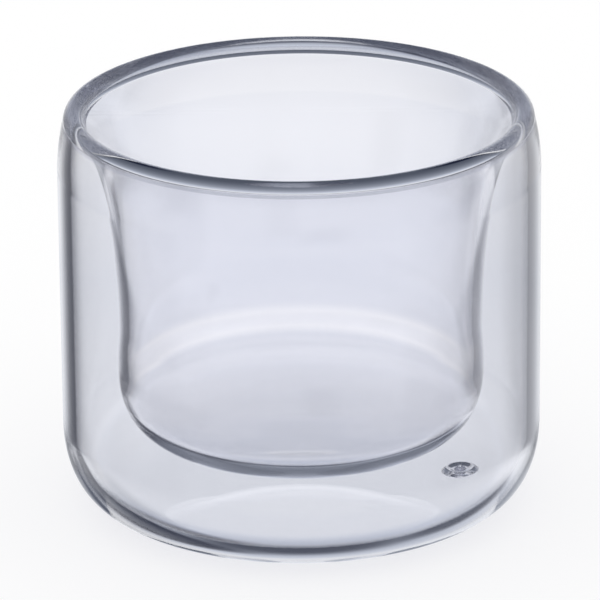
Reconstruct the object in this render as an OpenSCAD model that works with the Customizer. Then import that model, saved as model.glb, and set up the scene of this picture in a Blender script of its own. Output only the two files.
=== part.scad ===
// Double walled glass cup: an inner bowl inside an outer shell, both of clear borosilicate glass,
// melted together at the rim around a sealed layer of air.
// Millimetres, +Z up, origin at the centre of the base on the table.

/* [Outer shell] */
// Outside diameter of the straight wall
body_d = 70; // [64:0.5:90]
// Height from the table to the top of the rim
height = 60; // [56:0.5:90]
// Thickness of the shell's wall
shell_wall = 1.85; // [1.4:0.05:2.2]
// Thickness of the shell's base
base_wall = 1.9; // [1.4:0.05:3]
// How far the round bottom corner reaches in from the wall
corner_reach = 15; // [10:0.1:18]
// How high the round bottom corner rises
corner_rise = 12.5; // [8:0.1:16]
// Squareness of the bottom corner towards the base, where 2 is an ellipse
corner_base_power = 3.7; // [2:0.05:5]
// Squareness of the bottom corner towards the wall, where 2 is an ellipse
corner_wall_power = 2.15; // [2:0.05:4]
// Width of the flat ring that rests on the table
foot_ring = 5; // [3:0.1:10]
// Height of the shallow push-up inside the flat ring
push_up = 0.4; // [0.2:0.05:1.2]
// How far the shoulder under the rim draws in
shoulder_in = 0.95; // [0.5:0.05:1.4]
// Height over which the shoulder draws in
shoulder_drop = 7.5; // [5:0.1:12]

/* [Inner bowl] */
// Air between the two walls at the bowl's waist
air_gap = 6.65; // [5:0.05:9]
// Air between the two bases
base_gap = 8; // [5:0.1:12]
// Thickness of the bowl's wall
bowl_wall = 1.45; // [1.2:0.05:2]
// Thickness of the bowl's floor
bowl_floor = 1.75; // [1.2:0.05:2.5]
// How far the bowl's round corner reaches in, on the side of the air
bowl_corner_reach = 18; // [10:0.1:20]
// How high the bowl's round corner rises, on the side of the air
bowl_corner_rise = 11.5; // [8:0.1:14]
// Squareness of the bowl's corner towards its floor, where 2 is an ellipse
bowl_floor_power = 4.05; // [2:0.05:5]
// Squareness of the bowl's corner towards its wall, where 2 is an ellipse
bowl_wall_power = 2.4; // [2:0.05:4]
// How much further in than on the side of the air the corner reaches on the side of the drink
drink_corner_more = 0.3; // [0:0.1:1]
// How much lower than on the side of the air the corner ends on the side of the drink
drink_corner_drop = 1.3; // [0:0.1:2]
// Squareness of the corner towards the floor on the side of the drink, where 2 is an ellipse
drink_floor_power = 4; // [2:0.05:5]
// Squareness of the corner towards the wall on the side of the drink, where 2 is an ellipse
drink_wall_power = 3.1; // [2:0.05:4]
// How far the belly above the corner stands out past the waist
belly_out = 0.3; // [0:0.05:1]
// Height of the waist above the top of the bowl's corner
waist_rise = 6.4; // [3:0.1:10]

/* [Rim] */
// Width of the rim from its outside to the mouth
rim_width = 3; // [2.6:0.05:3.6]
// Height of the rim's round top
rim_round = 1.5; // [1:0.05:2]
// Width of the air between the two walls where the weld closes it
air_top = 0.2; // [0.15:0.05:1]
// Height of the arch over the air, above the seam of the weld with the two walls
air_arch_rise = 0.15; // [0.1:0.05:0.3]
// Least height of the weld's sides, from its seam to the rim's round top
weld_side = 0.3; // [0.2:0.05:2]

/* [Vent seal] */
// Bore through the base that let hot air out while the rim was welded
vent_bore_d = 1.6; // [1:0.1:1.8]
// Distance from the flat ring's outer edge out to the vent's axis
vent_out = 3.8; // [1:0.1:5]
// Direction of the vent round the axis, in degrees from +X
vent_angle = 8.5; // [0:0.5:359.5]
// Diameter of the glass drop inside the base
seal_d = 5.6; // [4:0.1:8]
// Height of the drop's peak above the base
seal_rise = 0.9; // [0.5:0.05:1.5]
// Height of the drop's raised edge above the base
seal_edge_rise = 0.6; // [0.4:0.05:0.8]
// Thickness of the drop between its peak and its raised edge
seal_skin = 0.25; // [0.2:0.05:0.5]
// How far the drop draws up into the bore from below
seal_recess = 0.25; // [0.1:0.05:0.6]

/* [Hidden] */
$fn = 128;
glass_tint = "lightsteelblue";
glass_alpha = 0.45;
// Share of the bowl's flare that opens only close to the lip, and how late it does
lip_flare_share = 0.32;
lip_flare_power = 8;
// Share of the drop's radius that its middle peak takes
peak_share = 0.4;
// How steeply the drop's skin ends at its edge
drop_edge_power = 8;
// Steps along a round stretch of an outline
corner_steps = 20;
wall_steps = 24;
dome_steps = 12;
air_arch_steps = 8;
// How far a cut runs past the surface that ends it
overrun = 0.2;
// How far the glass in the bore runs up into the drop
stem_lap = 0.1;

body_r = body_d / 2;
flat_r = body_r - corner_reach;
push_up_r = flat_r - foot_ring;
lip_z = height - rim_round;
shoulder_z = lip_z - shoulder_drop;
mouth_r = body_r - shoulder_in - rim_width;
waist_r = body_r - shell_wall - air_gap - bowl_wall;
bowl_under_z = base_wall + base_gap;
bowl_floor_z = bowl_under_z + bowl_floor;
bowl_corner_top_z = bowl_under_z + bowl_corner_rise;
drink_corner_top_z = bowl_corner_top_z - drink_corner_drop;
drink_corner_reach = bowl_corner_reach + drink_corner_more;
waist_z = bowl_corner_top_z + waist_rise;
vent_r = flat_r + vent_out;
seal_r = seal_d / 2;

// Shares from 0 to 1 in equal steps
function steps(count) = [for (i = [0 : count]) i / count];

// Quarter of a superellipse, from level at its low inner end to upright at its high outer end
function round_corner(r, z, reach, rise, base_power, wall_power) =
    [for (s = steps(corner_steps))
        [r + reach * pow(sin(90 * s), 2 / base_power), z + rise * (1 - pow(cos(90 * s), 2 / wall_power))]];

// Heights between two levels
function levels(low, high, count) = [for (s = steps(count)) low + (high - low) * s];

// The same points from last to first
function reversed(points) = [for (i = [len(points) - 1 : -1 : 0]) points[i]];

// Outside radius of the shell from the top of its corner to the lip
function shell_r(z) = body_r - shoulder_in * pow(max(0, z - shoulder_z) / shoulder_drop, 2);

// Inside radius of the bowl from the top of its corner to the lip
function belly(z) = belly_out * pow(cos(90 * (z - bowl_corner_top_z) / waist_rise), 2);
function flare(share) = (mouth_r - waist_r)
    * ((1 - lip_flare_share) * pow(share, 2) + lip_flare_share * pow(share, lip_flare_power));
function bowl_r(z) = waist_r + (z < waist_z ? belly(z) : flare((z - waist_z) / (lip_z - waist_z)));

// Height of the weld's seam: where the air between the two walls has narrowed to its top width
function air_width(z) = shell_r(z) - shell_wall - bowl_r(z) - bowl_wall;
function seam_level(low, high) =
    let (middle = (low + high) / 2)
    middle <= low || middle >= high ? middle
    : air_width(middle) > air_top ? seam_level(middle, high)
    : seam_level(low, middle);
weld_z = seam_level(shoulder_z, lip_z - weld_side);

// Underside of the base, from the middle of its push-up to the flat ring
function base_outline() = [for (s = steps(dome_steps)) [push_up_r * s, push_up * pow(1 - s * s, 2)]];

// A wall outline between two heights, moved out by its offset
function shell_wall_outline(low, high, offset) =
    [for (z = levels(low, high, wall_steps)) [shell_r(z) + offset, z]];
function bowl_wall_outline(low, high, offset) =
    [for (z = levels(low, high, wall_steps)) [bowl_r(z) + offset, z]];

// The shell's bottom corner above a level, moved in by its offset
function shell_corner(z, offset) = round_corner(flat_r, z, corner_reach - offset, corner_rise - z,
    corner_base_power, corner_wall_power);

// The shell's two faces, each from the base up to the seam under the rim
function shell_outside() = concat(
    base_outline(), shell_corner(0, 0), shell_wall_outline(shoulder_z, weld_z, 0));
function shell_inside() = concat(
    [[0, base_wall]], shell_corner(base_wall, shell_wall),
    shell_wall_outline(shoulder_z, weld_z, -shell_wall));

// The bowl's round corner on the side of the air, and the squarer one on the side of the drink
function air_side_corner() = round_corner(
    bowl_r(bowl_corner_top_z) + bowl_wall - bowl_corner_reach, bowl_under_z,
    bowl_corner_reach, bowl_corner_rise, bowl_floor_power, bowl_wall_power);
function drink_side_corner() = round_corner(
    bowl_r(bowl_corner_top_z) - drink_corner_reach, bowl_floor_z,
    drink_corner_reach, drink_corner_top_z - bowl_floor_z, drink_floor_power, drink_wall_power);

// The bowl's two faces, each from the middle of its floor up to the seam
function bowl_wall_face(offset) = concat(
    bowl_wall_outline(bowl_corner_top_z, waist_z, offset),
    bowl_wall_outline(waist_z, weld_z, offset));
function bowl_air_side() = concat([[0, bowl_under_z]], air_side_corner(), bowl_wall_face(bowl_wall));
function bowl_drink_side() = concat([[0, bowl_floor_z]], drink_side_corner(), bowl_wall_face(0));

// Half an ellipse over the span from one radius to a smaller one
function arch(r_out, r_in, z, rise, count) =
    [for (s = steps(count))
        [(r_out + r_in) / 2 + (r_out - r_in) / 2 * cos(180 * s), z + rise * sin(180 * s)]];

// The welded ring: its two sides, its round top and the arch over the air
function weld_outline() =
    let (air_out = shell_r(weld_z) - shell_wall, air_in = bowl_r(weld_z) + bowl_wall)
    concat(
        shell_wall_outline(weld_z, lip_z, 0),
        arch(shell_r(lip_z), mouth_r, lip_z, rim_round, corner_steps),
        reversed(bowl_wall_outline(weld_z, lip_z, 0)),
        reversed(arch(air_out, air_in, weld_z, air_arch_rise, air_arch_steps)));

// Height of the glass drop at a share of its radius: a skin, a peak in the middle and a raised edge
function drop_rise(share) = seal_skin * (1 - pow(share, drop_edge_power))
    + (seal_rise - seal_skin) * pow(cos(90 * min(1, share / peak_share)), 2)
    + (seal_edge_rise - seal_skin) * pow(sin(180 * share * share), 2);

module glass() {
    color(glass_tint, glass_alpha) children();
}

module at_vent() {
    rotate(vent_angle) translate([vent_r, 0, 0]) children();
}

module outer_shell() {
    glass() difference() {
        rotate_extrude() polygon(concat(shell_outside(), reversed(shell_inside())));
        at_vent() translate([0, 0, -overrun]) cylinder(d = vent_bore_d, h = base_wall + 2 * overrun);
    }
}

module inner_bowl() {
    glass() rotate_extrude() polygon(concat(bowl_air_side(), reversed(bowl_drink_side())));
}

module rim_weld() {
    glass() rotate_extrude() polygon(weld_outline());
}

// The air between the walls, below the seam and above the base
module air_above_base() {
    rotate_extrude() polygon(concat(shell_inside(), [[0, weld_z]]));
}

module vent_seal() {
    glass() union() {
        intersection() {
            air_above_base();
            at_vent() rotate_extrude() polygon(concat(
                [for (s = steps(corner_steps)) [seal_r * s, base_wall + drop_rise(s)]],
                [[seal_r, base_wall - overrun], [0, base_wall - overrun]]));
        }
        at_vent() translate([0, 0, seal_recess])
            cylinder(d = vent_bore_d, h = base_wall + stem_lap - seal_recess);
    }
}

outer_shell();
inner_bowl();
rim_weld();
vent_seal();
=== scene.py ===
"""Double walled glass cup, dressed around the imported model.

An outer shell and an inner bowl of clear borosilicate glass are melted together at the rim, and a
drop of glass closes the vent in the shell's base. Each wall is a closed body of glass with two
faces, so light bends at every face as it does in the real cup. Where two pieces are melted
together, a face of one lies on a face of the other. The pieces' sizes are in millimetres. An
outline is a list of points (radius, height), and becomes metres when it is turned into a mesh.
"""

import logging
import math
from dataclasses import dataclass, field
from enum import Enum

import bpy
from mathutils import Matrix, Vector


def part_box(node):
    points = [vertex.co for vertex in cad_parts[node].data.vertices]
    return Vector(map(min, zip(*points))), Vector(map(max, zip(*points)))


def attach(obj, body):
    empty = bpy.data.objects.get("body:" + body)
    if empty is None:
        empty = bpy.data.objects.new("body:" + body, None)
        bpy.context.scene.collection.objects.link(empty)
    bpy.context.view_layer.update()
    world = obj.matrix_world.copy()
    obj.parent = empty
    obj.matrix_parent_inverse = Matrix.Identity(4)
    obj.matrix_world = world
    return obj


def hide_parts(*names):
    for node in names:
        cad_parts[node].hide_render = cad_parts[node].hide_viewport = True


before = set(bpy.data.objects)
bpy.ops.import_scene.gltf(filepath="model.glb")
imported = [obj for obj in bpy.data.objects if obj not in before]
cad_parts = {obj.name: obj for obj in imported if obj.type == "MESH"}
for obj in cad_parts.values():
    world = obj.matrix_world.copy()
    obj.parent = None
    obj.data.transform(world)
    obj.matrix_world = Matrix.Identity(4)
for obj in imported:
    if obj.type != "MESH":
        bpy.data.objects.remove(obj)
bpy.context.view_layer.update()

MM = 0.001
BODY = "root"
# Steps round the cup's axis and round the vent's, fine enough that no facet shows in the glass
STEPS_ROUND_CUP = 300
STEPS_ROUND_VENT = 96
# Points closer than this are one point, in metres
MERGE_GAP = 1e-6
# Edges turn sharp past this angle, so that a seam's level face doesn't bend the shading beside it
SHARP_ANGLE = math.radians(40)
QUARTER_TURN = math.pi / 2

# The sRGB curve: the end and the slope of its straight part, then its power part
SRGB_KNEE, SRGB_SLOPE, SRGB_OFFSET, SRGB_POWER = 0.04045, 12.92, 0.055, 2.4
WHITE = (1.0, 1.0, 1.0, 1.0)
# How far red lies under and blue lies over green in grey light, and the share under white at
# which that is full
CAST_RED, CAST_BLUE, CAST_FADE = 0.022, 0.05, 0.17

# Heights of straight down and straight up over the horizon, and half a turn, in degrees
DOWN, UP, HALF_TURN = -90.0, 90.0, 180.0
# How many faces a ray may pass, or be thrown back by, in the glass
LIGHT_BOUNCES = 200

# Sockets that share their names with others: a Map Range node's for vectors, and a Mix node's
# for colours
FROM_MIN, FROM_MAX, TO_MIN, TO_MAX = 7, 8, 9, 10
TINT_A, TINT_B, TINT_OUT = 6, 7, 2

Point = tuple[float, float]
Powers = tuple[float, float]
Stop = tuple[float, float]
Colour = tuple[float, float, float, float]
log = logging.getLogger("cup")


class Slot(Enum):
    """Names of the cup's two glass finishes, listed with each piece and not used further."""

    BLOWN = "blown_glass"
    FUSED = "fused_glass"


# Small helpers


def linear(value: float) -> float:
    """Linear light of one sRGB channel from 0 to 1."""
    return (value / SRGB_SLOPE if value <= SRGB_KNEE
            else ((value + SRGB_OFFSET) / (1 + SRGB_OFFSET)) ** SRGB_POWER)


def colour(code: str) -> Colour:
    """Linear red, green and blue, with full alpha, of an sRGB hex value such as "#f2f6ff"."""
    red, green, blue = (linear(int(code[i : i + 2], 16) / 255) for i in (1, 3, 5))
    return red, green, blue, 1.0


def cool_grey(level: float) -> Colour:
    """Grey light with the cool cast of daylight, which runs out towards white.

    Args:
        level: Share of full white light.

    Returns:
        Linear red, green and blue, with full alpha.
    """
    grey = (1 + SRGB_OFFSET) * level ** (1 / SRGB_POWER) - SRGB_OFFSET
    cast = min(1.0, (1 - grey) / CAST_FADE)
    return linear(grey - CAST_RED * cast), level, linear(grey + CAST_BLUE * cast), 1.0


def add_node(tree: bpy.types.NodeTree, kind: str, values: dict | None = None,
             links: dict | None = None, **settings: object) -> bpy.types.Node:
    """Add a shader node with its settings, socket values and links.

    Args:
        tree: The node tree it goes into.
        kind: Blender's name of the node type.
        values: Input socket, by name or index, to the constant it holds.
        links: Input socket, by name or index, to the output socket it reads.
        settings: The node's own properties.

    Returns:
        The new node.
    """
    node = tree.nodes.new(kind)
    for name, value in settings.items():
        setattr(node, name, value)
    for socket, value in (values or {}).items():
        node.inputs[socket].default_value = value
    for socket, source in (links or {}).items():
        tree.links.new(source, node.inputs[socket])
    return node


def empty_tree(owner: bpy.types.Material | bpy.types.World) -> bpy.types.NodeTree:
    """Clear the node tree of a material or world.

    Args:
        owner: The material or world.

    Returns:
        Its node tree, empty.
    """
    owner.use_nodes = True
    owner.node_tree.nodes.clear()
    return owner.node_tree


def steps(count: int) -> list[float]:
    """Shares from 0 to 1 in equal steps."""
    return [i / count for i in range(count + 1)]


def between(low: float, high: float, count: int) -> list[float]:
    """Levels from low to high in equal steps."""
    return [low + (high - low) * share for share in steps(count)]


def round_corner(start: Point, reach: float, rise: float, powers: Powers,
                 count: int) -> list[Point]:
    """Quarter of a superellipse, from level at its low inner end to upright at its high outer end.

    Args:
        start: Its low inner end.
        reach: How far out it goes.
        rise: How far up it goes.
        powers: Squareness towards its level end and towards its upright end, where 2 is an ellipse.
        count: Steps along it.

    Returns:
        Its points.
    """
    level, upright = powers
    return [(start[0] + reach * math.sin(QUARTER_TURN * share) ** (2 / level),
             start[1] + rise * (1 - max(0.0, math.cos(QUARTER_TURN * share)) ** (2 / upright)))
            for share in steps(count)]


def arch(outer: float, inner: float, level: float, rise: float, count: int) -> list[Point]:
    """Half an ellipse that stands on a level, over the span between two radii.

    Args:
        outer: Radius at which it starts.
        inner: Radius at which it ends.
        level: Height that it stands on.
        rise: How far up it goes.
        count: Steps along it.

    Returns:
        Its points.
    """
    middle, half = (outer + inner) / 2, (outer - inner) / 2
    return [(middle + half * math.cos(math.pi * share), level + rise * math.sin(math.pi * share))
            for share in steps(count)]


# Modelling in edit mode


def only(piece: bpy.types.Object) -> None:
    """Make a piece the only one selected, and active.

    Args:
        piece: The piece.
    """
    bpy.ops.object.select_all(action="DESELECT")
    piece.select_set(True)
    bpy.context.view_layer.objects.active = piece


def turned(name: str, outline: list[Point], count: int) -> bpy.types.Object:
    """Draw an outline point by point, turn it round the Z axis and close it into one skin.

    Args:
        name: The piece's name.
        outline: Points in millimetres, either from axis to axis or back to its first point.
        count: Steps round the axis.

    Returns:
        The piece, its faces pointing outwards.
    """
    bpy.ops.object.select_all(action="DESELECT")
    first = Vector((outline[0][0], 0, outline[0][1])) * MM
    # The smallest circle there is, merged into the outline's first point
    bpy.ops.mesh.primitive_circle_add(vertices=3, radius=MM, location=(0, 0, 0))
    piece = bpy.context.object
    piece.name = piece.data.name = name
    bpy.ops.object.mode_set(mode="EDIT")
    bpy.ops.mesh.select_all(action="SELECT")
    bpy.ops.mesh.merge(type="CENTER")
    bpy.ops.transform.translate(value=first)
    for (r, z), (next_r, next_z) in zip(outline, outline[1:]):
        bpy.ops.mesh.extrude_region_move(
            TRANSFORM_OT_translate={"value": Vector((next_r - r, 0, next_z - z)) * MM})
    bpy.ops.object.mode_set(mode="OBJECT")
    lathe = piece.modifiers.new("lathe", "SCREW")
    lathe.axis = "Z"
    lathe.angle = 2 * math.pi
    lathe.steps = lathe.render_steps = count
    bpy.ops.object.modifier_apply(modifier=lathe.name)
    bpy.ops.object.mode_set(mode="EDIT")
    bpy.ops.mesh.select_all(action="SELECT")
    bpy.ops.mesh.remove_doubles(threshold=MERGE_GAP)
    bpy.ops.mesh.normals_make_consistent(inside=False)
    bpy.ops.mesh.select_all(action="DESELECT")
    bpy.ops.object.mode_set(mode="OBJECT")
    return piece


def moved(piece: bpy.types.Object, offset: Vector) -> None:
    """Move a piece's mesh, and leave its origin where it is.

    Args:
        piece: The piece.
        offset: How far it goes, in metres.
    """
    only(piece)
    bpy.ops.object.mode_set(mode="EDIT")
    bpy.ops.mesh.select_all(action="SELECT")
    bpy.ops.transform.translate(value=offset)
    bpy.ops.object.mode_set(mode="OBJECT")


def finished(piece: bpy.types.Object, node: str) -> None:
    """Smooth a piece's shading and let it stand for its CAD node.

    Args:
        piece: The finished mesh.
        node: The CAD node it replaces.
    """
    only(piece)
    bpy.ops.object.shade_smooth_by_angle(angle=SHARP_ANGLE)
    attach(piece, BODY)
    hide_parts(node)
    log.info("%s: %d faces, stands for %s", piece.name, len(piece.data.polygons), node)


# Finishes


@dataclass(frozen=True)
class BorosilicateGlass:
    """Clear borosilicate 3.3 glass, blown in a turning mould and fire polished.

    It is faultlessly smooth to the touch and nearly colourless, with a cool cast where light
    passes many walls. What tells it from a pressed glass is a faint slow waviness, drawn out
    round the cup by the turning.
    """

    name: str
    tint: str = "#fdfdff"
    ior: float = 1.474
    # Length of a slow wave up the wall and round it, and its height, in millimetres
    wave_up: float = 12.0
    wave_round: float = 40.0
    wave_height: float = 0.008
    # Finer waves over the slow ones, and their strength beside them
    wave_detail: float = 1.0
    wave_roughness: float = 0.4

    def material(self) -> bpy.types.Material:
        """Build the glass.

        Returns:
            The material, with light bent at each face.
        """
        made = bpy.data.materials.new(self.name)
        tree = empty_tree(made)
        place = add_node(tree, "ShaderNodeTexCoord")
        across, up = 1 / (self.wave_round * MM), 1 / (self.wave_up * MM)
        stretch = add_node(tree, "ShaderNodeMapping", {"Scale": (across, across, up)},
                           {"Vector": place.outputs["Object"]})
        waves = add_node(
            tree, "ShaderNodeTexNoise",
            {"Scale": 1.0, "Detail": self.wave_detail, "Roughness": self.wave_roughness},
            {"Vector": stretch.outputs["Vector"]})
        bump = add_node(tree, "ShaderNodeBump",
                        {"Strength": 1.0, "Distance": self.wave_height * MM},
                        {"Height": waves.outputs["Fac"]})
        skin = add_node(tree, "ShaderNodeBsdfPrincipled", {
            "Base Color": colour(self.tint), "Roughness": 0.0, "IOR": self.ior,
            "Transmission Weight": 1.0}, {"Normal": bump.outputs["Normal"]})
        add_node(tree, "ShaderNodeOutputMaterial", links={"Surface": skin.outputs["BSDF"]})
        return made


# The cup's pieces


@dataclass
class OuterShell:
    """The outer glass blank: a straight wall, a round bottom corner and a slightly hollow base."""

    # Overall size, read from the frame
    body_r: float = field(default_factory=lambda: round(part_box("outer_shell")[1].x / MM, 2))
    height: float = field(default_factory=lambda: round(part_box("rim_weld")[1].z / MM, 2))
    seam_z: float = field(default_factory=lambda: round(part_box("outer_shell")[1].z / MM, 2))
    wall: float = 1.85
    base_wall: float = 1.9
    corner_reach: float = 15.0
    corner_rise: float = 12.5
    corner_powers: Powers = (3.7, 2.15)
    # Width of the flat ring it stands on, and how far the base is pushed up inside that
    foot_ring: float = 5.0
    push_up: float = 0.4
    # How far the wall draws in under the rim, over what height, and the height of the round rim
    shoulder_in: float = 0.95
    shoulder_drop: float = 7.5
    rim_round: float = 1.5
    corner_steps: int = 48
    shoulder_steps: int = 44
    dome_steps: int = 10

    @property
    def lip_z(self) -> float:
        """Height at which the rim's round top begins."""
        return self.height - self.rim_round

    @property
    def shoulder_z(self) -> float:
        """Height at which the wall begins to draw in."""
        return self.lip_z - self.shoulder_drop

    @property
    def flat_r(self) -> float:
        """Outer radius of the flat ring under the base."""
        return self.body_r - self.corner_reach

    def radius(self, z: float) -> float:
        """Outside radius at a height above the bottom corner."""
        return (self.body_r
                - self.shoulder_in * (max(0.0, z - self.shoulder_z) / self.shoulder_drop) ** 2)

    def corner(self, level: float, offset: float) -> list[Point]:
        """Points of the bottom corner above a level, moved in by an offset."""
        return round_corner((self.flat_r, level), self.corner_reach - offset,
                            self.corner_rise - level, self.corner_powers, self.corner_steps)

    def inner_floor(self, r: float) -> float:
        """Follow the base's inner face.

        Args:
            r: A radius inside the bottom corner.

        Returns:
            Height of the face there.
        """
        base_power, wall_power = self.corner_powers
        share = max(0.0, r - self.flat_r) / (self.corner_reach - self.wall)
        turn = math.asin(min(1.0, share ** (base_power / 2)))
        return (self.base_wall
                + (self.corner_rise - self.base_wall) * (1 - math.cos(turn) ** (2 / wall_power)))

    def outline(self) -> list[Point]:
        """Draw the glass from axis to axis.

        Returns:
            Points out along the underside, up outside, over the seam and down inside.
        """
        push_up_r = self.flat_r - self.foot_ring
        dome = [(push_up_r * s, self.push_up * (1 - s * s) ** 2) for s in steps(self.dome_steps)]
        levels = between(self.shoulder_z, self.seam_z, self.shoulder_steps)
        outside = dome + self.corner(0.0, 0.0) + [(self.radius(z), z) for z in levels]
        inside = ([(0.0, self.base_wall)] + self.corner(self.base_wall, self.wall)
                  + [(self.radius(z) - self.wall, z) for z in levels])
        return outside + inside[::-1]

    def build(self) -> bpy.types.Object:
        """Turn the shell, before its vent is cut."""
        return turned("outer_shell_glass", self.outline(), STEPS_ROUND_CUP)


@dataclass
class InnerBowl:
    """The inner glass blank that holds the drink: round corner, slight belly and flared mouth."""

    shell: OuterShell
    # Air between the walls at the waist, and between the two bases
    air_gap: float = 6.65
    base_gap: float = 8.0
    wall: float = 1.45
    floor: float = 1.75
    corner_reach: float = 18.0
    corner_rise: float = 11.5
    corner_powers: Powers = (4.05, 2.4)
    # The corner on the side of the drink reaches further in, ends lower and is squarer
    drink_corner_more: float = 0.3
    drink_corner_drop: float = 1.3
    drink_corner_powers: Powers = (4.0, 3.1)
    # How far the belly stands out, and how far above the corner the waist lies
    belly_out: float = 0.3
    waist_rise: float = 6.4
    rim_width: float = 3.0
    # Part of the flare that comes late, near the mouth, and how late that is
    lip_flare_share: float = 0.32
    lip_flare_power: float = 8.0
    corner_steps: int = 52
    belly_steps: int = 12
    flare_steps: int = 72

    @property
    def under_z(self) -> float:
        """Height of the underside of the floor."""
        return self.shell.base_wall + self.base_gap

    @property
    def corner_top_z(self) -> float:
        """Height at which the round corner ends."""
        return self.under_z + self.corner_rise

    @property
    def waist_z(self) -> float:
        """Height of the narrowest place."""
        return self.corner_top_z + self.waist_rise

    def radius(self, z: float) -> float:
        """Follow the inside of the wall, over the belly to the waist and out to the mouth.

        Args:
            z: A height above the round corner.

        Returns:
            Inside radius there.
        """
        waist_r = self.shell.body_r - self.shell.wall - self.air_gap - self.wall
        mouth_r = self.shell.body_r - self.shell.shoulder_in - self.rim_width
        if z < self.waist_z:
            return waist_r + self.belly_out * math.cos(
                QUARTER_TURN * (z - self.corner_top_z) / self.waist_rise) ** 2
        share = (z - self.waist_z) / (self.shell.lip_z - self.waist_z)
        late = self.lip_flare_share
        flare = (1 - late) * share**2 + late * share**self.lip_flare_power
        return waist_r + (mouth_r - waist_r) * flare

    def air_side(self) -> list[Point]:
        """Draw the face towards the air.

        Returns:
            Points from the middle of the underside up to the seam.
        """
        start = (self.radius(self.corner_top_z) + self.wall - self.corner_reach, self.under_z)
        corner = round_corner(start, self.corner_reach, self.corner_rise, self.corner_powers,
                              self.corner_steps)
        return [(0.0, self.under_z)] + corner + self.wall_face(self.wall)[1:]

    def drink_side(self) -> list[Point]:
        """Draw the face towards the drink.

        Returns:
            Points from the middle of the floor up to the seam.
        """
        floor_z, reach = self.under_z + self.floor, self.corner_reach + self.drink_corner_more
        rise = self.corner_top_z - self.drink_corner_drop - floor_z
        corner = round_corner((self.radius(self.corner_top_z) - reach, floor_z), reach, rise,
                              self.drink_corner_powers, self.corner_steps)
        return [(0.0, floor_z)] + corner + self.wall_face(0.0)

    def wall_face(self, offset: float) -> list[Point]:
        """Draw a face of the wall above the round corner.

        Args:
            offset: How far out from the inside it lies.

        Returns:
            Points from the corner's top up to the seam.
        """
        levels = (between(self.corner_top_z, self.waist_z, self.belly_steps)
                  + between(self.waist_z, self.shell.seam_z, self.flare_steps)[1:])
        return [(self.radius(z) + offset, z) for z in levels]

    def build(self) -> bpy.types.Object:
        """Turn the bowl: its air side up to the seam, then its drink side back down."""
        outline = self.air_side() + self.drink_side()[::-1]
        return turned("inner_bowl_glass", outline, STEPS_ROUND_CUP)


@dataclass
class RimWeld:
    """The solid ring that the two mouths are melted into, with a round top and an arch below."""

    shell: OuterShell
    bowl: InnerBowl
    arch_rise: float = 0.15
    side_steps: int = 10
    top_steps: int = 48
    arch_steps: int = 16

    def outline(self) -> list[Point]:
        """Draw the ring.

        Returns:
            Points up outside, over the top, down the mouth and back over the arch above the air.
        """
        shell, bowl, seam = self.shell, self.bowl, self.shell.seam_z
        levels = between(seam, shell.lip_z, self.side_steps)
        top = arch(shell.radius(shell.lip_z), bowl.radius(shell.lip_z), shell.lip_z,
                   shell.rim_round, self.top_steps)
        hollow = arch(shell.radius(seam) - shell.wall, bowl.radius(seam) + bowl.wall, seam,
                      self.arch_rise, self.arch_steps)
        return ([(shell.radius(z), z) for z in levels] + top[1:]
                + [(bowl.radius(z), z) for z in levels[::-1]][1:]
                + hollow[::-1] + [(shell.radius(seam), seam)])

    def build(self) -> bpy.types.Object:
        """Turn the ring."""
        return turned("rim_weld_glass", self.outline(), STEPS_ROUND_CUP)


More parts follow.
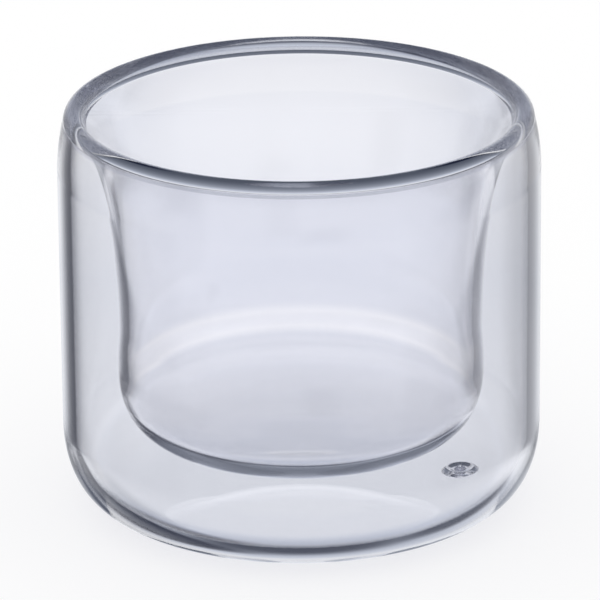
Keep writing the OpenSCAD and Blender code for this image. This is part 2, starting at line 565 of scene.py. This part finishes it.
@dataclass
class VentSeal:
    """The drop of glass that closes the vent in the base, with what it drew down into the bore."""

    shell: OuterShell
    bore_d: float = 1.6
    # The vent's place: how far out from the flat ring's edge, and how far round from +X
    out: float = 3.8
    angle_deg: float = 8.5
    drop_d: float = 5.6
    # Height of the drop over the base: its middle, its edge and the skin between them
    rise: float = 0.9
    edge_rise: float = 0.6
    skin: float = 0.25
    # How far up the bore its stem ends
    recess: float = 0.25
    # Share of its radius that the peak takes, and how late the skin runs out at the edge
    peak_share: float = 0.4
    edge_power: float = 8.0
    # How deep the drop is melted into the base
    melt: float = 0.05
    # How far the cut for the drop runs past the glass
    overrun: float = 1.0
    drop_steps: int = 40
    bottom_steps: int = 12

    @property
    def centre(self) -> Vector:
        """Place of the vent's axis, in metres."""
        angle, reach = math.radians(self.angle_deg), (self.shell.flat_r + self.out) * MM
        return Vector((reach * math.cos(angle), reach * math.sin(angle), 0))

    def drop_rise(self, share: float) -> float:
        """Add up the drop's skin, the peak in its middle and its raised edge.

        Args:
            share: A share of the drop's radius.

        Returns:
            Height over the base there.
        """
        peak = math.cos(QUARTER_TURN * min(1.0, share / self.peak_share)) ** 2
        return (self.skin * (1 - share**self.edge_power) + (self.rise - self.skin) * peak
                + (self.edge_rise - self.skin) * math.sin(math.pi * share * share) ** 2)

    def melted_outline(self, end: float) -> list[Point]:
        """Draw what lies under the drop's top.

        Args:
            end: Height at which it ends in the bore.

        Returns:
            Points from the drop's edge in to the bore, and down the bore.
        """
        base, bore_r = self.shell.base_wall, self.bore_d / 2
        return ([(r, base - self.melt) for r in between(self.drop_d / 2, bore_r, self.bottom_steps)]
                + [(bore_r, self.recess), (bore_r, end), (0.0, end)])

    def settled(self, piece: bpy.types.Object) -> None:
        """Set a piece turned round the vent's axis in its place, and lay it on the base.

        Args:
            piece: The drop, or the cut for it.
        """
        moved(piece, self.centre)
        # All but the stem follows the base's inner face. No operator does that, so points are set
        under = (self.shell.base_wall - 2 * self.melt) * MM
        for vertex in piece.data.vertices:
            if vertex.co.z > under:
                r = math.hypot(vertex.co.x, vertex.co.y) / MM
                vertex.co.z += (self.shell.inner_floor(r) - self.shell.base_wall) * MM

    def cut_out_of(self, shell_piece: bpy.types.Object) -> None:
        """Cut the bore and the drop's melted bed out of the shell.

        Args:
            shell_piece: The turned shell.
        """
        top = self.shell.base_wall + self.overrun
        outline = [(0.0, top), (self.drop_d / 2, top)] + self.melted_outline(-self.overrun)
        cutter = turned("vent_cut", outline, STEPS_ROUND_VENT)
        self.settled(cutter)
        only(shell_piece)
        cut = shell_piece.modifiers.new("vent", "BOOLEAN")
        cut.operation = "DIFFERENCE"
        cut.solver = "EXACT"
        cut.object = cutter
        bpy.ops.object.modifier_apply(modifier=cut.name)
        bpy.data.objects.remove(cutter)

    def build(self) -> bpy.types.Object:
        """Turn the drop with its stem.

        Returns:
            The drop, in its place.
        """
        base, radius = self.shell.base_wall, self.drop_d / 2
        top = [(radius * s, base + self.drop_rise(s)) for s in steps(self.drop_steps)]
        piece = turned("vent_seal_glass", top + self.melted_outline(self.recess), STEPS_ROUND_VENT)
        self.settled(piece)
        return piece


# Surroundings


@dataclass(frozen=True)
class Flag:
    """A dark card with soft edges, far off, which draws a dark line along the edges of the glass.

    Directions are in degrees: azimuth from the far side of the cup, +Y, round to +X, and height
    above the horizon.
    """

    azimuth: float
    half_width: float
    low: float
    high: float
    # How softly its sides, and its top and bottom, run out
    edge: float
    fade: float
    # Share of the light that still comes from it
    level: float


@dataclass(frozen=True)
class DarkPatch:
    """A round dark patch with a soft edge, far off, by its middle, radius and edge in degrees."""

    azimuth: float
    height: float
    radius: float
    edge: float
    # Share of the light that still comes from it
    level: float

    @property
    def direction(self) -> Vector:
        """Turn the azimuth and height of its middle into a direction.

        Returns:
            The direction, one unit long.
        """
        turn, rise = math.radians(self.azimuth), math.radians(self.height)
        flat = math.cos(rise)
        return Vector((math.sin(turn) * flat, math.cos(turn) * flat, math.sin(rise)))


@dataclass(frozen=True)
class Studio:
    """A plain pale table under plain soft light, with dark flags and patches for the glass alone.

    The glass sees the soft light through the clear table as well: bright at the horizon and
    darker further down.
    """

    # Side of the table's top, in metres
    floor_size: float = 6.0
    floor_colour: str = "#ffffff"
    # Share of its shade that the cup keeps on the table
    shade_kept: float = 0.2
    # What the cards themselves send back
    card_colour: str = "#040c2a"
    # Share of full white light by height over the horizon, from straight down to straight up
    light: tuple[Stop, ...] = (
        (-90, 0.4), (-60, 0.42), (-50, 0.47), (-40, 0.62), (-34, 0.74), (-30, 0.85), (-26, 0.86),
        (-24, 0.84), (-22, 0.84), (-21, 0.85), (-20.5, 0.82), (-20, 0.84), (-19.2, 0.9),
        (-18.7, 0.96), (-18.4, 0.99), (-17.8, 0.95), (-17, 0.92), (-12, 0.93), (-5, 0.95),
        (2, 0.9), (8, 0.6), (13, 0.34), (20, 0.2), (27, 0.13), (35, 0.09), (60, 0.08), (90, 0.12))
    flags: tuple[Flag, ...] = (
        # Beside the backdrop: the long soft shading of both walls
        Flag(azimuth=62, half_width=16, low=-22.8, high=-8, edge=48, fade=2, level=0.53),
        Flag(azimuth=-60, half_width=12, low=-22.4, high=-8, edge=34, fade=1.8, level=0.62),
        # The dark lines along the walls, stronger on the left
        Flag(azimuth=36, half_width=8, low=-23.5, high=12, edge=17, fade=1.5, level=0.6),
        Flag(azimuth=-34, half_width=5.5, low=-22.9, high=12, edge=16, fade=1.2, level=0.17),
        # Beside and in front, for the cup seen from its other sides
        Flag(azimuth=90, half_width=14, low=-26, high=-17, edge=12, fade=4, level=0.7),
        Flag(azimuth=-95, half_width=18, low=-27, high=-20, edge=14, fade=4, level=0.7),
        Flag(azimuth=-57, half_width=3, low=-4, high=4, edge=14, fade=8, level=0.45),
        Flag(azimuth=-123, half_width=3, low=-4, high=4, edge=14, fade=8, level=0.45),
        Flag(azimuth=102, half_width=3, low=-15, high=-13, edge=14, fade=5, level=0.45),
        Flag(azimuth=168, half_width=3, low=-15, high=-13, edge=14, fade=5, level=0.45),
    )
    patches: tuple[DarkPatch, ...] = (
        # Under the cup: the dark lines round the front of its base and of the bowl's floor
        DarkPatch(azimuth=0, height=-79, radius=10, edge=22, level=0.16),
        # The left part of those lines, their end up the left walls, and the soft shade beside it
        DarkPatch(azimuth=-30, height=-45.5, radius=10.5, edge=8, level=0.02),
        DarkPatch(azimuth=-34.5, height=-29.5, radius=3.5, edge=5, level=0.1),
        DarkPatch(azimuth=-19, height=-31, radius=3, edge=9, level=0.65),
        # Their right part
        DarkPatch(azimuth=48, height=-47, radius=8, edge=11, level=0.1),
        # Above: the thin lines low along the near rim, and the shade on both sides of the rim
        DarkPatch(azimuth=24, height=37, radius=5, edge=6, level=0.1),
        DarkPatch(azimuth=-24, height=37, radius=5, edge=6, level=0.1),
        DarkPatch(azimuth=80, height=42, radius=22, edge=18, level=0.06),
        DarkPatch(azimuth=-80, height=42, radius=22, edge=18, level=0.06),
    )

    def gradient(self, tree: bpy.types.NodeTree) -> bpy.types.NodeSocket:
        """Light by direction: a ramp by height over the horizon, darkened by each flag and patch.

        Args:
            tree: The world's nodes.

        Returns:
            The background's output.
        """
        ray = add_node(tree, "ShaderNodeTexCoord")
        axes = add_node(tree, "ShaderNodeSeparateXYZ", links={"Vector": ray.outputs["Generated"]})
        rise = add_node(tree, "ShaderNodeMath", links={0: axes.outputs["Z"]}, operation="ARCSINE")
        turn = add_node(tree, "ShaderNodeMath", links={0: axes.outputs["X"], 1: axes.outputs["Y"]},
                        operation="ARCTAN2")
        height = add_node(tree, "ShaderNodeMath", links={0: rise.outputs[0]}, operation="DEGREES")
        azimuth = add_node(tree, "ShaderNodeMath", links={0: turn.outputs[0]}, operation="DEGREES")
        way = add_node(tree, "ShaderNodeCombineXYZ",
                       links={"X": azimuth.outputs[0], "Y": height.outputs[0]})
        share = add_node(tree, "ShaderNodeMapRange", {"From Min": DOWN, "From Max": UP},
                         {"Value": height.outputs[0]})
        ramp = add_node(tree, "ShaderNodeValToRGB", links={"Fac": share.outputs["Result"]})
        stops = ramp.color_ramp.elements
        # New stops wait in the middle until all are there, and then go to their places
        while len(stops) < len(self.light):
            stops.new(0.5)
        for stop, (degrees, level) in zip(stops, self.light):
            stop.position = (degrees - DOWN) / (UP - DOWN)
            stop.color = cool_grey(level)
        shades = [self.flag_shade(tree, way.outputs["Vector"], flag) for flag in self.flags]
        shades += [self.patch_shade(tree, ray.outputs["Generated"], patch)
                   for patch in self.patches]
        strength = shades[0]
        for shade in shades[1:]:
            strength = add_node(tree, "ShaderNodeMath", links={0: strength, 1: shade},
                                operation="MULTIPLY").outputs[0]
        shaded = add_node(tree, "ShaderNodeMix", {TINT_A: colour(self.card_colour)},
                          {"Factor": strength, TINT_B: ramp.outputs["Color"]}, data_type="RGBA")
        light = add_node(tree, "ShaderNodeBackground", links={"Color": shaded.outputs[TINT_OUT]})
        return light.outputs["Background"]

    def flag_shade(self, tree: bpy.types.NodeTree, way: bpy.types.NodeSocket,
                   flag: Flag) -> bpy.types.NodeSocket:
        """Share of the light that passes one flag.

        Args:
            tree: The world's nodes.
            way: Azimuth and height of the ray, in degrees.
            flag: The flag.

        Returns:
            The share, from the flag's level at its middle to 1 past its edges.
        """
        inside, outside = (1, 1, 1), (0, 0, 0)
        half_turn = Vector((HALF_TURN, HALF_TURN, HALF_TURN))
        half = Vector((flag.half_width, (flag.high - flag.low) / 2, 1))
        centre = (flag.azimuth, (flag.high + flag.low) / 2, 0)
        away = add_node(tree, "ShaderNodeVectorMath", {1: centre}, {0: way}, operation="SUBTRACT")
        nearest = add_node(tree, "ShaderNodeVectorMath", {1: half_turn, 2: -half_turn},
                           {0: away.outputs[0]}, operation="WRAP")
        apart = add_node(tree, "ShaderNodeVectorMath", links={0: nearest.outputs[0]},
                         operation="ABSOLUTE")
        soft = add_node(tree, "ShaderNodeMapRange", {
            FROM_MIN: half, FROM_MAX: half + Vector((flag.edge, flag.fade, 1)), TO_MIN: inside,
            TO_MAX: outside}, {"Vector": apart.outputs[0]}, data_type="FLOAT_VECTOR",
            interpolation_type="SMOOTHSTEP")
        both = add_node(tree, "ShaderNodeSeparateXYZ", links={0: soft.outputs["Vector"]})
        covered = add_node(tree, "ShaderNodeMath", operation="MULTIPLY",
                           links={0: both.outputs["X"], 1: both.outputs["Y"]})
        return add_node(tree, "ShaderNodeMapRange", {"To Min": 1.0, "To Max": flag.level},
                        {"Value": covered.outputs[0]}).outputs["Result"]

    def patch_shade(self, tree: bpy.types.NodeTree, ray: bpy.types.NodeSocket,
                    patch: DarkPatch) -> bpy.types.NodeSocket:
        """Share of the light that passes one round patch.

        Args:
            tree: The world's nodes.
            ray: Direction of the ray.
            patch: The patch.

        Returns:
            The share, from the patch's level at its middle to 1 past its edge.
        """
        near = add_node(tree, "ShaderNodeVectorMath", {1: patch.direction}, {0: ray},
                        operation="DOT_PRODUCT")
        return add_node(tree, "ShaderNodeMapRange", {
            "From Min": math.cos(math.radians(patch.radius + patch.edge)),
            "From Max": math.cos(math.radians(patch.radius)), "To Min": 1.0,
            "To Max": patch.level}, {"Value": near.outputs["Value"]},
            interpolation_type="SMOOTHSTEP").outputs["Result"]

    def world(self) -> None:
        """Light the cup from all round: white for camera and table, the soft gradient for glass."""
        world = bpy.data.worlds.new("soft_light")
        bpy.context.scene.world = world
        tree = empty_tree(world)
        white = add_node(tree, "ShaderNodeBackground", {"Color": WHITE, "Strength": 1.0})
        ray = add_node(tree, "ShaderNodeLightPath")
        in_glass = add_node(tree, "ShaderNodeMath", operation="MAXIMUM", links={
            0: ray.outputs["Is Glossy Ray"], 1: ray.outputs["Is Transmission Ray"]})
        from_table = add_node(tree, "ShaderNodeMapRange",
                              {"To Min": 1.0, "To Max": self.shade_kept},
                              {"Value": ray.outputs["Diffuse Depth"]})
        share = add_node(tree, "ShaderNodeMath", operation="MULTIPLY", links={
            0: in_glass.outputs[0], 1: from_table.outputs["Result"]})
        seen = add_node(tree, "ShaderNodeMixShader", links={
            0: share.outputs[0], 1: white.outputs["Background"], 2: self.gradient(tree)})
        add_node(tree, "ShaderNodeOutputWorld", links={"Surface": seen.outputs["Shader"]})

    def floor(self) -> None:
        """Lay the table's top, which takes the cup's shadow and is clear to what the glass sees."""
        bpy.ops.object.select_all(action="DESELECT")
        bpy.ops.mesh.primitive_plane_add(size=self.floor_size, location=(0, 0, 0))
        table = bpy.context.object
        table.name = "table_top"
        table.visible_transmission = False
        table.visible_glossy = False
        # Matt white laminate, which shows no gloss
        made = bpy.data.materials.new("matt_white_laminate")
        tree = empty_tree(made)
        matt = add_node(tree, "ShaderNodeBsdfDiffuse", {"Color": colour(self.floor_colour)})
        add_node(tree, "ShaderNodeOutputMaterial", links={"Surface": matt.outputs["BSDF"]})
        table.data.materials.append(made)


@dataclass(frozen=True)
class Viewpoint:
    """Where the camera stands: in front of the cup and above it, far off, with a long lens.

    Lengths are in millimetres, those of the lens and the sensor too.
    """

    distance: float = 846.3
    elevation_deg: float = 20.61
    aim_z: float = 30.23
    aside: float = -0.06
    roll_deg: float = -0.5
    lens: float = 348.0
    sensor: float = 36.0

    def place(self) -> None:
        """Add the camera, and make it the scene's own."""
        rise = math.radians(self.elevation_deg)
        data = bpy.data.cameras.new("camera")
        data.lens, data.sensor_width = self.lens, self.sensor
        camera = bpy.data.objects.new("camera", data)
        bpy.context.scene.collection.objects.link(camera)
        back = Vector((0, -math.cos(rise), math.sin(rise)))
        aim = Vector((self.aside, 0, self.aim_z)) * MM
        turn = (-back).to_track_quat("-Z", "Y").to_matrix().to_4x4()
        camera.matrix_world = (Matrix.Translation(aim + back * self.distance * MM) @ turn
                               @ Matrix.Rotation(math.radians(self.roll_deg), 4, "Z"))
        bpy.context.scene.camera = camera


def set_up_light_paths() -> None:
    """Let light pass as many faces as it meets in glass, where it is led round inside the walls."""
    scene = bpy.context.scene
    scene.view_settings.view_transform = "Standard"
    scene.cycles.max_bounces = LIGHT_BOUNCES
    scene.cycles.transmission_bounces = LIGHT_BOUNCES
    scene.cycles.glossy_bounces = LIGHT_BOUNCES
    scene.cycles.blur_glossy = 0.0
    scene.cycles.caustics_reflective = True
    scene.cycles.caustics_refractive = True


def main() -> None:
    """Build the cup's pieces, then what stands round it."""
    logging.basicConfig(level=logging.INFO, format="%(message)s")
    blown = BorosilicateGlass("blown_borosilicate_glass").material()
    fused = BorosilicateGlass("fused_borosilicate_glass").material()

    shell = OuterShell()
    bowl = InnerBowl(shell)
    rim = RimWeld(shell, bowl)
    seal = VentSeal(shell)

    shell_piece = shell.build()
    seal.cut_out_of(shell_piece)
    for piece, glass, slot, node in (
        (shell_piece, blown, Slot.BLOWN, "outer_shell"),
        (bowl.build(), blown, Slot.BLOWN, "inner_bowl"),
        (rim.build(), fused, Slot.FUSED, "rim_weld"),
        (seal.build(), fused, Slot.FUSED, "vent_seal"),
    ):
        piece.data.materials.append(glass)
        finished(piece, node)

    studio = Studio()
    studio.world()
    studio.floor()
    Viewpoint().place()
    set_up_light_paths()


if __name__ == "__main__":
    main()
